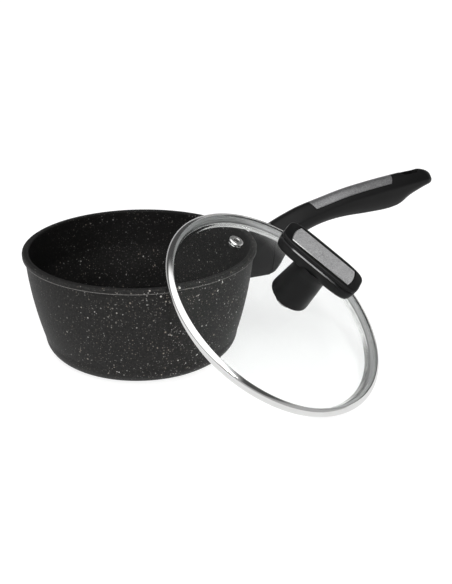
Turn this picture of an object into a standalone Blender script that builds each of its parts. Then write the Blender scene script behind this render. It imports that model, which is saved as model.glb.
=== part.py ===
"""Saucepan with a glass lid that leans against its rim.

The pan stands on z = 0 with its axis on Z and its handle along +X. The lid stands on its lowest
edge in front of the pan and leans over the rim. Lengths are in millimetres, scaled by MM to metres
where a mesh or a place is made.
"""

import math

import bmesh
import bpy
from mathutils import Matrix, Vector

MM = 0.001
GAP = 0.3
OVERRUN = 20.0
TINY = 0.000001
SMOOTH_ANGLE = math.radians(40)

# Pan: a cast shell with a thick lip and a steel disc pressed into its base.
RIM_R = 93.5
PAN_H = 87.2
LIP_H = 3.8
LIP_STEP = 2.1
LIP_ROUND = 0.6
WALL_TOP_R = RIM_R - LIP_STEP
WALL_FOOT_R = 75.1
WALL_BELLY = 2.9
WALL_T = 3.2
FLOOR_T = 5.0
FOOT_ROUND = 15.3
INNER_ROUND = 12.0
EDGE_ROUND = 1.2
DISC_R = 57.4
DISC_T = 2.1
DISC_ROUND = 0.4
PAN_STEPS = 60

# Handle: a mount block at the wall and a long grip. Curves are (distance from the axis, value).
BLOCK_START = 86.0
FERRULE_END = 115.7
GRIP_START = FERRULE_END + GAP
GRIP_END = 283.4
TIP_ROUND = 10.0
TIP_START = GRIP_END - TIP_ROUND
BLOCK_BOTTOM = 44.6
CREST = [(86, 80.5), (94, 82), (104, 84.6), (116, 88.8), (130, 95.3), (146, 101.6), (165, 106.7),
         (190, 112.8), (215, 117.0), (240, 120.3), (262, 122.6), (270, 122.9), (276.5, 121.4),
         (280.9, 119.0), (GRIP_END, 115.2)]
UNDERSIDE = [(GRIP_START, 45.0), (120.7, 47.2), (125.0, 52.6), (129.3, 60.0), (136.5, 70.5),
             (148, 79.8), (166, 86.3), (186, 89.3), (212, 90.0), (232, 90.9), (243, 92.7),
             (249, 95.0), (257, 100.6), (266, 104.9), (276, 108.8), (GRIP_END, 109.6)]
HALF_WIDTH = [(86, 13.6), (116, 13.0), (140, 12.0), (170, 11.5), (230, 11.6), (250, 11.0),
              (268, 10.2), (GRIP_END, 10.0)]
CREASE_DROP = 9.0
CROWN_SHARES = [0.0, 0.4, 0.75, 0.96]
FLANK = [(1.0, 0.06), (0.985, 0.42), (0.82, 0.8), (0.7, 0.94), (0.5, 1.0)]
SLOT_START = 250.0
SLOT_END = 268.5
SLOT_W = 7.6

# Trim plate on the grip's crown.
TRIM_START = 159.4
TRIM_END = 236.0
TRIM_HALF_W = 8.5
TRIM_BULGE = 3.2
TRIM_T = 0.8
TRIM_POCKET = TRIM_T + GAP
TRIM_COLUMNS = 14
TRIM_ROWS = 6

# Screw that comes in level under the grip's root and draws the handle on to a boss on the wall.
# Places along it are distances from the pan's axis.
SCREW_Z = 60.0
SHANK_R = 2.4
CLEAR_R = SHANK_R + 0.4
BOSS_R = 6.5
BOSS_START = 84.0
BOSS_END = 104.0
BOSS_BORE_START = 93.0
SCREW_TIP = 95.0
SCREW_SEAT = 122.0
COUNTERBORE_R = 5.6
WASHER_R = 5.0
WASHER_T = 0.8
HEAD_R = 4.3
HEAD_H = 2.8
HEAD_CROWN = [(0.5, 1.0), (0.74, 0.8), (0.93, 0.45), (1.0, 0.2)]
HEX_R = 2.0
HEX_DEPTH = 1.7
INSERT_R = 4.0
GASKET_T = 1.2
GASKET_INSET = 1.2
RING_STEPS = 24

# Lid: a domed glass in a rolled steel rim, which folds in under it and down into a short skirt.
LID_TILT = math.radians(35.9)
LID_LEAN = math.radians(-56.7)
KNOB_TWIST = math.radians(12.0)
LID_X = 71.8
LID_Y = -97.7
FLOOR_CLEARANCE = 2.3
GLASS_R = 93.0
GLASS_EDGE_Z = 7.6
GLASS_APEX_Z = 20.3
GLASS_T = 4.0
GLASS_ROUND = 0.8
GLASS_HOLE_R = 4.0
VENT_TURN = math.radians(160)
VENT_REACH = 59.8
VENT_BORE_R = 2.5
VENT_TUBE_R = 2.9
VENT_FLANGE_R = 5.7
VENT_FLANGE_T = 0.9
VENT_COLLAR_R = 5.2
VENT_COLLAR_T = 0.8
FLANGE_INNER_R = 91.1
BAND_T = 0.7
BAND_WALL = [(93.9, 8.25), (94.75, 7.85), (95.1, 7.05), (94.7, 4.8), (93.8, 2.5), (92.6, 0.9)]
BAND_LINING = [(92.1, 1.65), (93.1, 3.0), (93.95, 5.0), (94.3, 6.9), (93.6, 7.6)]
BAND_FOOT_R = 91.3
SEAT_R = 87.0
SKIRT_R = 85.2
SKIRT_Z = -2.4
LID_STEPS = 60

# Knob: a round stem that carries a bar with a metal plate let into its top.
STEM_FOOT_R = 15.8
STEM_NECK_R = 13.9
STEM_Z = 21.8
BAR_HALF_L = 33.6
BAR_HALF_W = 14.2
BAR_BOTTOM_Z = 53.4
BAR_SPLIT_Z = 63.8
BAR_TOP_Z = 67.3
BAR_SQUARENESS = 4.6
BAR_POINTS = 36
BAR_LEVELS = [(6.0, 0.0), (3.8, 0.35), (2.0, 1.4), (0.8, 3.4), (0.0, 8.0)]
PLATE_HALF_L = 25.1
PLATE_HALF_W = 10.2
PLATE_BULGE = 1.8
KNOB_SHANK_TOP = 36.0
KNOB_INSERT_TOP = 39.0
KNOB_INSERT_BOTTOM = 24.0
KNOB_HEAD_R = 4.6
KNOB_HEAD_H = 3.0
KNOB_WASHER_R = 8.0
KNOB_WASHER_T = 1.2
KNOB_GASKET_R = 9.2
KNOB_GASKET_T = 1.0
CROSS_REACH = 3.0
CROSS_HALF_W = 0.45
CROSS_DEPTH = 1.4

FINISHES = {
    "granite_coat": ((0.032, 0.031, 0.030), 0.55, 0.0),
    "base_steel": ((0.55, 0.55, 0.54), 0.35, 1.0),
    "soft_black": ((0.018, 0.018, 0.019), 0.48, 0.0),
    "satin_trim": ((0.32, 0.32, 0.33), 0.38, 0.8),
    "polished_steel": ((0.80, 0.80, 0.79), 0.14, 1.0),
    "silicone": ((0.05, 0.05, 0.05), 0.7, 0.0),
    "brass": ((0.72, 0.52, 0.22), 0.3, 1.0),
    "raw_aluminium": ((0.60, 0.60, 0.61), 0.4, 1.0),
    "clear_glass": ((0.92, 0.95, 0.94), 0.03, 0.0),
}


def clear_scene():
    for obj in list(bpy.data.objects):
        bpy.data.objects.remove(obj, do_unlink=True)


def new_collection(name):
    collection = bpy.data.collections.new(name)
    bpy.context.scene.collection.children.link(collection)
    return collection


def make_materials():
    made = {}
    for name, (colour, roughness, metallic) in FINISHES.items():
        material = bpy.data.materials.new(name)
        material.use_nodes = True
        shader = material.node_tree.nodes["Principled BSDF"]
        shader.inputs["Base Color"].default_value = (*colour, 1.0)
        shader.inputs["Roughness"].default_value = roughness
        shader.inputs["Metallic"].default_value = metallic
        shader.inputs["Transmission Weight"].default_value = 1.0 if name == "clear_glass" else 0.0
        made[name] = material
    return made


def spaced(first, last, count):
    """Evenly spaced values with both ends included."""
    return [first + (last - first) * i / (count - 1) for i in range(count)]


def smooth_value(points, at):
    """Cubic through the points (place, value), read at one place."""
    last = len(points) - 1
    i = 0
    while i < last - 1 and at > points[i + 1][0]:
        i += 1
    (x0, y0), (x1, y1) = points[i], points[i + 1]

    def slope(j):
        low, high = max(j - 1, 0), min(j + 1, last)
        return (points[high][1] - points[low][1]) / (points[high][0] - points[low][0])

    span = x1 - x0
    t = min(max((at - x0) / span, 0.0), 1.0)
    a, b = slope(i) * span, slope(i + 1) * span
    return (y0 * (2 * t ** 3 - 3 * t ** 2 + 1) + a * (t ** 3 - 2 * t ** 2 + t)
            + y1 * (3 * t ** 2 - 2 * t ** 3) + b * (t ** 3 - t ** 2))


def arc(cx, cz, radius, start, end, count):
    """Points on a circle from one angle to another, in degrees."""
    points = []
    for angle in spaced(math.radians(start), math.radians(end), count + 1):
        points.append((cx + radius * math.cos(angle), cz + radius * math.sin(angle)))
    return points


def ring_profile(inner, outer, high, low):
    """Outline of a washer or tube between two radii and two heights."""
    return [(inner, high), (outer, high), (outer, low), (inner, low)]


def aim_along_x(obj):
    """Lay a turned piece down, so that its own +Z points along the frame's +X."""
    obj.rotation_euler = (0.0, 0.5 * math.pi, 0.0)
    return obj


class Builder:
    """Makes objects with one material each, in the model's or the cutters' collection."""

    def __init__(self, title):
        self.materials = make_materials()
        self.parts = new_collection(title)
        self.cutters = new_collection(title + "_cutters")

    def add(self, name, mesh, finish=None, frame=None):
        obj = bpy.data.objects.new(name, mesh)
        if finish is None:
            self.cutters.objects.link(obj)
            obj.hide_render = True
            obj.display_type = "WIRE"
        else:
            self.parts.objects.link(obj)
            mesh.materials.append(self.materials[finish])
        obj.parent = frame
        return obj

    def frame(self, name, matrix):
        empty = bpy.data.objects.new(name, None)
        self.parts.objects.link(empty)
        empty.matrix_world = matrix
        return empty

    def turned(self, name, profile, steps, finish=None, frame=None, closed=False):
        """A profile of (radius, z) that runs down its outer side, turned about Z."""
        mesh = bpy.data.meshes.new(name)
        edges = [(i, i + 1) for i in range(len(profile) - 1)]
        if closed:
            edges.append((len(profile) - 1, 0))
        mesh.from_pydata([(r * MM, 0.0, z * MM) for r, z in profile], edges, [])
        obj = self.add(name, mesh, finish, frame)
        screw = obj.modifiers.new("turn", "SCREW")
        screw.axis = "Z"
        screw.angle = 2.0 * math.pi
        screw.steps = steps
        screw.render_steps = steps
        screw.use_merge_vertices = True
        screw.merge_threshold = TINY
        screw.use_smooth_shade = True
        return obj

    def cylinder(self, name, radius, low, high, sides, frame=None):
        """A plain round or many-sided bar along Z, used as a cutter."""
        mesh = bpy.data.meshes.new(name)
        bm = bmesh.new()
        place = Matrix.Translation((0.0, 0.0, 0.5 * (low + high) * MM))
        bmesh.ops.create_cone(bm, cap_ends=True, segments=sides, radius1=radius * MM, radius2=radius * MM,
                              depth=(high - low) * MM, matrix=place)
        bm.to_mesh(mesh)
        bm.free()
        return self.add(name, mesh, None, frame)

    def flat(self, name, outline, low, high, finish=None, frame=None):
        """A filled outline of (x, y) with a thickness along Z."""
        curve = bpy.data.curves.new(name, "CURVE")
        curve.dimensions = "2D"
        curve.fill_mode = "BOTH"
        curve.extrude = 0.5 * (high - low) * MM
        spline = curve.splines.new("POLY")
        spline.points.add(len(outline) - 1)
        for point, (x, y) in zip(spline.points, outline):
            point.co = (x * MM, y * MM, 0.0, 1.0)
        spline.use_cyclic_u = True
        guide = bpy.data.objects.new(name, curve)
        self.cutters.objects.link(guide)
        mesh = bpy.data.meshes.new_from_object(guide.evaluated_get(bpy.context.evaluated_depsgraph_get()))
        bpy.data.objects.remove(guide)
        bm = bmesh.new()
        bm.from_mesh(mesh)
        bmesh.ops.remove_doubles(bm, verts=bm.verts, dist=TINY)
        bmesh.ops.translate(bm, verts=bm.verts, vec=(0.0, 0.0, 0.5 * (low + high) * MM))
        bm.to_mesh(mesh)
        bm.free()
        return self.add(name, mesh, finish, frame)

    def lofted(self, name, rings, finish=None, frame=None):
        """A skin over closed rings of points, with a flat cap on the first and last ring."""
        mesh = bpy.data.meshes.new(name)
        bm = bmesh.new()
        rows = []
        for ring in rings:
            rows.append([bm.verts.new(Vector(point) * MM) for point in ring])
        for low, high in zip(rows, rows[1:]):
            for i in range(len(low)):
                j = (i + 1) % len(low)
                bm.faces.new((low[i], low[j], high[j], high[i]))
        bm.faces.new(reversed(rows[0]))
        bm.faces.new(rows[-1])
        bmesh.ops.recalc_face_normals(bm, faces=bm.faces[:])
        bm.to_mesh(mesh)
        bm.free()
        mesh.shade_smooth()
        mesh.set_sharp_from_angle(angle=SMOOTH_ANGLE)
        return self.add(name, mesh, finish, frame)

    def shell(self, name, place, columns, rows, thickness, side, finish=None):
        """A grid shaped by place(u, v), with u and v from 0 to 1, thickened to one side."""
        mesh = bpy.data.meshes.new(name)
        bm = bmesh.new()
        bmesh.ops.create_grid(bm, x_segments=columns, y_segments=rows, size=0.5)
        for vertex in bm.verts:
            vertex.co = Vector(place(vertex.co.x + 0.5, vertex.co.y + 0.5)) * MM
        bm.to_mesh(mesh)
        bm.free()
        mesh.shade_smooth()
        obj = self.add(name, mesh, finish)
        solidify = obj.modifiers.new("thickness", "SOLIDIFY")
        solidify.thickness = thickness * MM
        solidify.offset = side
        return obj

    def combine(self, obj, cutter, operation="DIFFERENCE"):
        boolean = obj.modifiers.new(operation.lower() + "_" + cutter.name, "BOOLEAN")
        boolean.operation = operation
        boolean.object = cutter
        boolean.solver = "EXACT"


# Pan

def wall_radius(z):
    """Outer radius of the bellied wall."""
    top = PAN_H - LIP_H
    down = (top - z) / top
    return WALL_TOP_R + (WALL_FOOT_R - WALL_TOP_R) * down + 4.0 * WALL_BELLY * down * (1.0 - down)


def pan_profile():
    """Inside from the centre up to the rim, over the lip, down the outside, and back in below."""
    corner_z = FLOOR_T + INNER_ROUND
    corner_r = wall_radius(corner_z) - WALL_T - INNER_ROUND
    rim_z = PAN_H - EDGE_ROUND
    lip_z = PAN_H - LIP_H
    inside = [(0.0, FLOOR_T)] + arc(corner_r, corner_z, INNER_ROUND, -90, 0, 4)
    inside += [(wall_radius(z) - WALL_T, z) for z in spaced(corner_z, rim_z, 5)[1:-1]]
    rim = arc(WALL_TOP_R - WALL_T + EDGE_ROUND, rim_z, EDGE_ROUND, 180, 90, 2)
    rim += arc(RIM_R - EDGE_ROUND, rim_z, EDGE_ROUND, 90, 0, 2)
    under_lip = lip_z - LIP_ROUND
    lip = [(RIM_R, lip_z + LIP_ROUND), (RIM_R - LIP_ROUND, lip_z), (wall_radius(under_lip), under_lip)]
    outside = [(wall_radius(z), z) for z in spaced(under_lip, FOOT_ROUND, 5)[1:-1]]
    outside += arc(wall_radius(FOOT_ROUND) - FOOT_ROUND, FOOT_ROUND, FOOT_ROUND, 0, -90, 5)
    recess_r = DISC_R + GAP
    recess_z = DISC_T + GAP
    return inside + rim + lip + outside + [(recess_r, 0.0), (recess_r, recess_z), (0.0, recess_z)]


def make_pan(build):
    build.turned("pan_body", pan_profile(), PAN_STEPS, "granite_coat")
    edge_r = DISC_R - DISC_ROUND
    disc = [(0.0, DISC_T), (edge_r, DISC_T), (DISC_R, DISC_T - DISC_ROUND), (DISC_R, DISC_ROUND),
            (edge_r, 0.0), (0.0, 0.0)]
    build.turned("base_disc", disc, PAN_STEPS, "base_steel")


def wall_envelope(build, name, offset):
    """The pan's outer wall grown by an offset, as a cutter."""
    heights = spaced(PAN_H + LIP_H, BLOCK_BOTTOM - OVERRUN, 7)
    profile = [(0.0, heights[0])] + [(wall_radius(z) + offset, z) for z in heights] + [(0.0, heights[-1])]
    return build.turned(name, profile, PAN_STEPS)


# Handle

def grip_stations():
    """Distances from the pan's axis at which the grip's section is set out."""
    root = spaced(GRIP_START, 136.0, 9)
    middle = spaced(142.0, 238.0, 10)
    hump = spaced(243.0, TIP_START, 6)
    tip = [TIP_START + TIP_ROUND * math.sin(math.radians(turn)) for turn in (25, 45, 62, 75, 84)]
    return root + middle + hump + tip


def grip_section(at, shrink=0.0):
    """Closed ring of points across the handle at one distance from the pan's axis."""
    half = smooth_value(HALF_WIDTH, at)
    past = max(at - TIP_START, 0.0) / TIP_ROUND
    half = half * math.sqrt(1.0 - past ** 2) - shrink
    top = smooth_value(CREST, at) - shrink
    low = (BLOCK_BOTTOM if at < GRIP_START else smooth_value(UNDERSIDE, at)) + shrink
    drop = min(CREASE_DROP, 0.5 * (top - low))
    flank = top - drop - low
    right = [(share * half, top - drop * share ** 2) for share in CROWN_SHARES]
    right += [(share * half, top - drop - down * flank) for share, down in FLANK]
    left = [(-y, z) for y, z in reversed(right[1:])]
    return [(at, y, z) for y, z in right + left]


def crown_height(at, across):
    """Height of the grip's crowned top."""
    return smooth_value(CREST, at) - CREASE_DROP * (across / smooth_value(HALF_WIDTH, at)) ** 2


def trim_place(margin, lift):
    """Place on the crown, grown sideways by a margin and raised square to the crown by a lift."""
    def place(u, v):
        side = 2.0 * v - 1.0
        across = side * (TRIM_HALF_W + margin)
        bulge = margin + TRIM_BULGE * (1.0 - side ** 2)
        start = TRIM_START - bulge
        at = start + (TRIM_END + bulge - start) * u
        slope = 2.0 * CREASE_DROP * across / smooth_value(HALF_WIDTH, at) ** 2
        lean = math.hypot(1.0, slope)
        return (at, across + lift * slope / lean, crown_height(at, across) + lift / lean)
    return place


def slot_outline():
    """The hanging slot: a long hole with round ends."""
    radius = 0.5 * SLOT_W
    return (arc(SLOT_END - radius, 0.0, radius, -90, 90, 6)
            + arc(SLOT_START + radius, 0.0, radius, 90, 270, 6))


def make_grip(build, screw_frame, screw_hole):
    grip = build.lofted("handle_grip", [grip_section(at) for at in grip_stations()], "soft_black")
    slot = build.flat("slot_cut", slot_outline(), BLOCK_BOTTOM, PAN_H + 2.0 * OVERRUN)
    pocket = build.shell("trim_cut", trim_place(GAP, -TRIM_POCKET), TRIM_COLUMNS, TRIM_ROWS,
                         4.0 * TRIM_POCKET, 1.0)
    counterbore = aim_along_x(build.cylinder("head_cut", COUNTERBORE_R, SCREW_SEAT, SCREW_SEAT + OVERRUN,
                                             RING_STEPS, screw_frame))
    for cutter in (slot, pocket, screw_hole, counterbore):
        build.combine(grip, cutter)
    build.shell("handle_trim", trim_place(0.0, 0.0), TRIM_COLUMNS, TRIM_ROWS, TRIM_T, -1.0, "satin_trim")


def make_ferrule(build, screw_frame, screw_hole):
    """The mount block, cut to the wall, the gasket behind it, and the boss they both sit over."""
    boss_hole = aim_along_x(build.cylinder("boss_cut", BOSS_R + GAP, BOSS_START - OVERRUN, BOSS_END + GAP,
                                           RING_STEPS, screw_frame))
    rings = [grip_section(at) for at in spaced(BLOCK_START, FERRULE_END - 1.0, 4)]
    rings.append(grip_section(FERRULE_END, shrink=0.5))
    ferrule = build.lofted("handle_ferrule", rings, "soft_black")
    build.combine(ferrule, wall_envelope(build, "ferrule_seat_cut", 2.0 * GAP + GASKET_T))
    build.combine(ferrule, boss_hole)
    build.combine(ferrule, screw_hole)
    seal_rings = [grip_section(at, shrink=GASKET_INSET) for at in spaced(BLOCK_START, 101.0, 3)]
    gasket = build.lofted("ferrule_gasket", seal_rings, "silicone")
    build.combine(gasket, wall_envelope(build, "gasket_back_cut", GAP + GASKET_T), "INTERSECT")
    seat = wall_envelope(build, "wall_seat_cut", GAP)
    build.combine(gasket, seat)
    build.combine(gasket, boss_hole)
    bore_r = SHANK_R + GAP
    profile = [(0.0, BOSS_BORE_START), (bore_r, BOSS_BORE_START), (bore_r, BOSS_END), (BOSS_R, BOSS_END),
               (BOSS_R, BOSS_START), (0.0, BOSS_START)]
    boss = aim_along_x(build.turned("wall_boss", profile, RING_STEPS, "raw_aluminium", screw_frame))
    build.combine(boss, seat)


def make_handle_fasteners(build, screw_frame):
    """The washer and the screw, whose head lies in the counterbore."""
    washer_low = SCREW_SEAT + GAP
    washer_high = washer_low + WASHER_T
    washer = ring_profile(CLEAR_R, WASHER_R, washer_high, washer_low)
    aim_along_x(build.turned("screw_washer", washer, RING_STEPS, "polished_steel", screw_frame, closed=True))
    base = washer_high + GAP
    top = base + HEAD_H
    crown = [(HEAD_R * share, base + HEAD_H * up) for share, up in HEAD_CROWN]
    shank = [(HEAD_R, base), (SHANK_R, base), (SHANK_R, SCREW_TIP), (0.0, SCREW_TIP)]
    screw = aim_along_x(build.turned("handle_screw", [(0.0, top)] + crown + shank, RING_STEPS,
                                     "polished_steel", screw_frame))
    socket = build.cylinder("handle_socket_cut", HEX_R, top - HEX_DEPTH, top + OVERRUN, 6, screw_frame)
    build.combine(screw, aim_along_x(socket))


# Lid

def glass_height(radius):
    """Outer surface of the dome."""
    return GLASS_EDGE_Z + (GLASS_APEX_Z - GLASS_EDGE_Z) * (1.0 - (radius / GLASS_R) ** 2)


def glass_profile():
    radii = spaced(GLASS_HOLE_R, GLASS_R - GLASS_ROUND, 7)
    outer = [(r, glass_height(r)) for r in radii]
    edge = [(GLASS_R, GLASS_EDGE_Z - GLASS_ROUND), (GLASS_R, GLASS_EDGE_Z - GLASS_T + GLASS_ROUND)]
    inner = [(r, glass_height(r) - GLASS_T) for r in reversed(radii)]
    return outer + edge + inner


def band_profile():
    """A strip of sheet rolled over the glass, down the outside, in under it and down into the skirt."""
    t = BAND_T
    flange_z = glass_height(FLANGE_INNER_R) + GAP
    outside = [(FLANGE_INNER_R, flange_z + t)] + BAND_WALL + [(BAND_FOOT_R, 0.0)]
    skirt = [(SEAT_R + t, 0.0), (SKIRT_R + t, SKIRT_Z), (SKIRT_R, SKIRT_Z)]
    seat = [(SEAT_R - 0.5 * t, 0.0), (SEAT_R + 0.3 * t, t), (BAND_FOOT_R - t, t)]
    return outside + skirt + seat + BAND_LINING + [(FLANGE_INNER_R, flange_z)]


def seal_profile():
    """Bedding ring between the seat of the rim and the underside of the glass."""
    inner = SEAT_R + 2.0 * BAND_T
    outer = GLASS_R - GLASS_ROUND
    low = BAND_T + GAP
    return [(inner, glass_height(inner) - GLASS_T - GAP), (outer, glass_height(outer) - GLASS_T - GAP),
            (BAND_FOOT_R - GAP, low), (inner, low)]


def lid_matrix():
    lift = BAND_FOOT_R * math.sin(LID_TILT) + FLOOR_CLEARANCE
    place = Matrix.Translation(Vector((LID_X, LID_Y, lift)) * MM)
    turn = Matrix.Rotation(LID_LEAN, 4, "Z") @ Matrix.Rotation(LID_TILT, 4, "Y")
    return place @ turn @ Matrix.Rotation(KNOB_TWIST, 4, "Z")


def vent_matrix():
    """Place of the steam vent, with Z square to the dome."""
    spot = Matrix.Translation(Vector((VENT_REACH, 0.0, glass_height(VENT_REACH))) * MM)
    slope = glass_height(VENT_REACH - 0.5) - glass_height(VENT_REACH + 0.5)
    return lid_matrix() @ Matrix.Rotation(VENT_TURN, 4, "Z") @ spot @ Matrix.Rotation(math.atan(slope), 4, "Y")


def make_vent(build, frame, glass):
    """A flanged eyelet through the glass, closed over a collar on the underside."""
    hole = build.cylinder("vent_cut", VENT_TUBE_R + GAP, -OVERRUN, OVERRUN, RING_STEPS, frame)
    build.combine(glass, hole)
    collar_high = -GLASS_T - GAP
    collar_low = collar_high - VENT_COLLAR_T
    top = GAP + VENT_FLANGE_T
    eyelet = [(VENT_BORE_R, top - 0.3), (VENT_BORE_R + 0.5, top), (VENT_FLANGE_R - 0.6, top - 0.3),
              (VENT_FLANGE_R, GAP), (VENT_TUBE_R, GAP), (VENT_TUBE_R, collar_low), (VENT_BORE_R, collar_low)]
    build.turned("vent_eyelet", eyelet, RING_STEPS, "polished_steel", frame, closed=True)
    collar = ring_profile(VENT_TUBE_R + GAP, VENT_COLLAR_R, collar_high, collar_low)
    build.turned("vent_collar", collar, RING_STEPS, "polished_steel", frame, closed=True)


def make_lid(build, frame):
    glass = build.turned("lid_glass", glass_profile(), LID_STEPS, "clear_glass", frame, closed=True)
    make_vent(build, build.frame("vent_frame", vent_matrix()), glass)
    build.turned("lid_rim_band", band_profile(), LID_STEPS, "polished_steel", frame, closed=True)
    build.turned("lid_rim_seal", seal_profile(), LID_STEPS, "silicone", frame, closed=True)


def bar_ring(inset, z):
    """Rounded-rectangle outline of the knob's bar, drawn in by an inset."""
    power = 2.0 / BAR_SQUARENESS
    ring = []
    for i in range(BAR_POINTS):
        angle = 2.0 * math.pi * (i + 0.5) / BAR_POINTS
        reach = math.copysign(abs(math.cos(angle)) ** power, math.cos(angle))
        across = math.copysign(abs(math.sin(angle)) ** power, math.sin(angle))
        ring.append(((BAR_HALF_L - inset) * reach, (BAR_HALF_W - inset) * across, z))
    return ring


def plate_outline(margin=0.0):
    """Long plate with bowed ends."""
    outline = []
    for side in (1.0, -1.0):
        for across in spaced(-1.0, 1.0, 7):
            reach = PLATE_HALF_L + margin + PLATE_BULGE * (1.0 - across ** 2)
            outline.append((side * reach, side * across * (PLATE_HALF_W + margin)))
    return outline


def stem_profile():
    """Stem from inside the bar, through a soft flare, down to a rounded foot."""
    neck_z = BAR_BOTTOM_Z - 7.0
    foot_z = STEM_Z + 3.0
    inside_z = BAR_BOTTOM_Z + 4.0
    flare = [(STEM_NECK_R + 2.6, inside_z), (STEM_NECK_R + 1.6, BAR_BOTTOM_Z - GAP),
             (STEM_NECK_R + 0.3, 0.5 * (neck_z + BAR_BOTTOM_Z)), (STEM_NECK_R, neck_z)]
    foot = [(STEM_FOOT_R, foot_z), (STEM_FOOT_R, STEM_Z + 1.5), (STEM_FOOT_R - 0.5, STEM_Z + 0.5),
            (STEM_FOOT_R - 1.6, STEM_Z)]
    return [(0.0, inside_z)] + flare + foot + [(0.0, STEM_Z)]


def make_knob(build, frame):
    levels = [(inset, BAR_BOTTOM_Z + up) for inset, up in BAR_LEVELS] + [(0.4, BAR_SPLIT_Z)]
    body = build.lofted("knob_body", [bar_ring(inset, z) for inset, z in levels], "soft_black", frame)
    build.combine(body, build.turned("stem_join", stem_profile(), 36, None, frame), "UNION")
    bore = build.cylinder("knob_insert_cut", INSERT_R + GAP, STEM_Z - OVERRUN, KNOB_INSERT_TOP + GAP,
                          RING_STEPS, frame)
    build.combine(body, bore)
    cap_low = BAR_SPLIT_Z + GAP
    cap_levels = [(0.4, cap_low), (0.0, cap_low + 0.4), (0.0, BAR_TOP_Z - 1.1), (0.5, BAR_TOP_Z - 0.3),
                  (1.4, BAR_TOP_Z)]
    cap = build.lofted("knob_cap", [bar_ring(inset, z) for inset, z in cap_levels], "soft_black", frame)
    pocket = build.flat("plate_cut", plate_outline(GAP), BAR_TOP_Z - TRIM_POCKET, BAR_TOP_Z + OVERRUN, None,
                        frame)
    build.combine(cap, pocket)
    build.flat("knob_trim", plate_outline(), BAR_TOP_Z - TRIM_T, BAR_TOP_Z, "satin_trim", frame)
    insert = ring_profile(SHANK_R + GAP, INSERT_R, KNOB_INSERT_TOP, KNOB_INSERT_BOTTOM)
    build.turned("knob_insert", insert, RING_STEPS, "brass", frame, closed=True)


def make_knob_gaskets(build, frame):
    """A gasket on each side of the glass. Returns the height under the lower one."""
    upper = ring_profile(GLASS_HOLE_R, STEM_FOOT_R - 2.2, STEM_Z - GAP, glass_height(0.0) + GAP)
    build.turned("knob_gasket_upper", upper, RING_STEPS, "silicone", frame, closed=True)
    high = glass_height(KNOB_GASKET_R) - GLASS_T - GAP
    lower = ring_profile(GLASS_HOLE_R, KNOB_GASKET_R, high, high - KNOB_GASKET_T)
    build.turned("knob_gasket_lower", lower, RING_STEPS, "silicone", frame, closed=True)
    return high - KNOB_GASKET_T


def make_knob_fasteners(build, frame):
    washer_high = make_knob_gaskets(build, frame) - GAP
    washer_low = washer_high - KNOB_WASHER_T
    washer = ring_profile(CLEAR_R, KNOB_WASHER_R, washer_high, washer_low)
    build.turned("knob_washer", washer, RING_STEPS, "polished_steel", frame, closed=True)
    base = washer_low - GAP
    low = base - KNOB_HEAD_H
    profile = [(0.0, KNOB_SHANK_TOP), (SHANK_R, KNOB_SHANK_TOP), (SHANK_R, base), (KNOB_HEAD_R, base),
               (KNOB_HEAD_R, base - 0.5 * KNOB_HEAD_H), (0.75 * KNOB_HEAD_R, low), (0.0, low)]
    screw = build.turned("knob_screw", profile, RING_STEPS, "polished_steel", frame)
    reach, half = CROSS_REACH, CROSS_HALF_W
    arm = [(reach, -half), (reach, half), (half, half)]
    cross = []
    for turn in range(4):
        quarter = Matrix.Rotation(0.5 * math.pi * turn, 2)
        cross += [tuple(quarter @ Vector(point)) for point in arm]
    build.combine(screw, build.flat("cross_recess_cut", cross, low - OVERRUN, low + CROSS_DEPTH, None, frame))


def main():
    clear_scene()
    build = Builder("saucepan")
    screw_frame = build.frame("handle_joint", Matrix.Translation((0.0, 0.0, SCREW_Z * MM)))
    hole = aim_along_x(build.cylinder("screw_cut", CLEAR_R, BOSS_END - OVERRUN, SCREW_SEAT + OVERRUN,
                                      RING_STEPS, screw_frame))
    make_pan(build)
    make_grip(build, screw_frame, hole)
    make_ferrule(build, screw_frame, hole)
    make_handle_fasteners(build, screw_frame)
    lid_frame = build.frame("lid_frame", lid_matrix())
    make_lid(build, lid_frame)
    make_knob(build, lid_frame)
    make_knob_fasteners(build, lid_frame)


main()
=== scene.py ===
"""Looks of the saucepan with a glass lid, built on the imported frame.

The pan stands on z = 0 with its axis on Z and its handle along +X. The lid's own frame has its origin
at the middle of the rim's underside and Z on the lid's axis. Shapes are set out in millimetres, and MM
turns them into metres where a mesh or a place is made.
"""

import math

import bmesh
import bpy
from mathutils import Matrix, Vector

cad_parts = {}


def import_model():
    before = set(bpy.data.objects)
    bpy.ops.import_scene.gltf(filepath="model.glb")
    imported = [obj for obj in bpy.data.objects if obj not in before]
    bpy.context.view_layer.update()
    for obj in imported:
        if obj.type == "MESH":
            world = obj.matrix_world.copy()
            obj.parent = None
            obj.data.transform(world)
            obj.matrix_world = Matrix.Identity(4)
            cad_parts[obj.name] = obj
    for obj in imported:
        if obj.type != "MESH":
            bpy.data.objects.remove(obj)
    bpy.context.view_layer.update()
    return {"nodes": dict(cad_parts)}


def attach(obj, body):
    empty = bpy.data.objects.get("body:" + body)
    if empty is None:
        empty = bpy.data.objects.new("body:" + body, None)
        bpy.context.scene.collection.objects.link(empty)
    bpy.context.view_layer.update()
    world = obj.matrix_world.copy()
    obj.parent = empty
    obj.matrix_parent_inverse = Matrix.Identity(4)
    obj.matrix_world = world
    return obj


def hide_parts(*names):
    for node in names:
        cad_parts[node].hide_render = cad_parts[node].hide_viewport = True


MM = 0.001
TINY = 0.000001
GAP = 0.3
OVERRUN = 20.0
FINE_STEPS = 256
RING_STEPS = 96
SMOOTH_ANGLE = math.radians(32)
HERE = Matrix.Identity(4)

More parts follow.
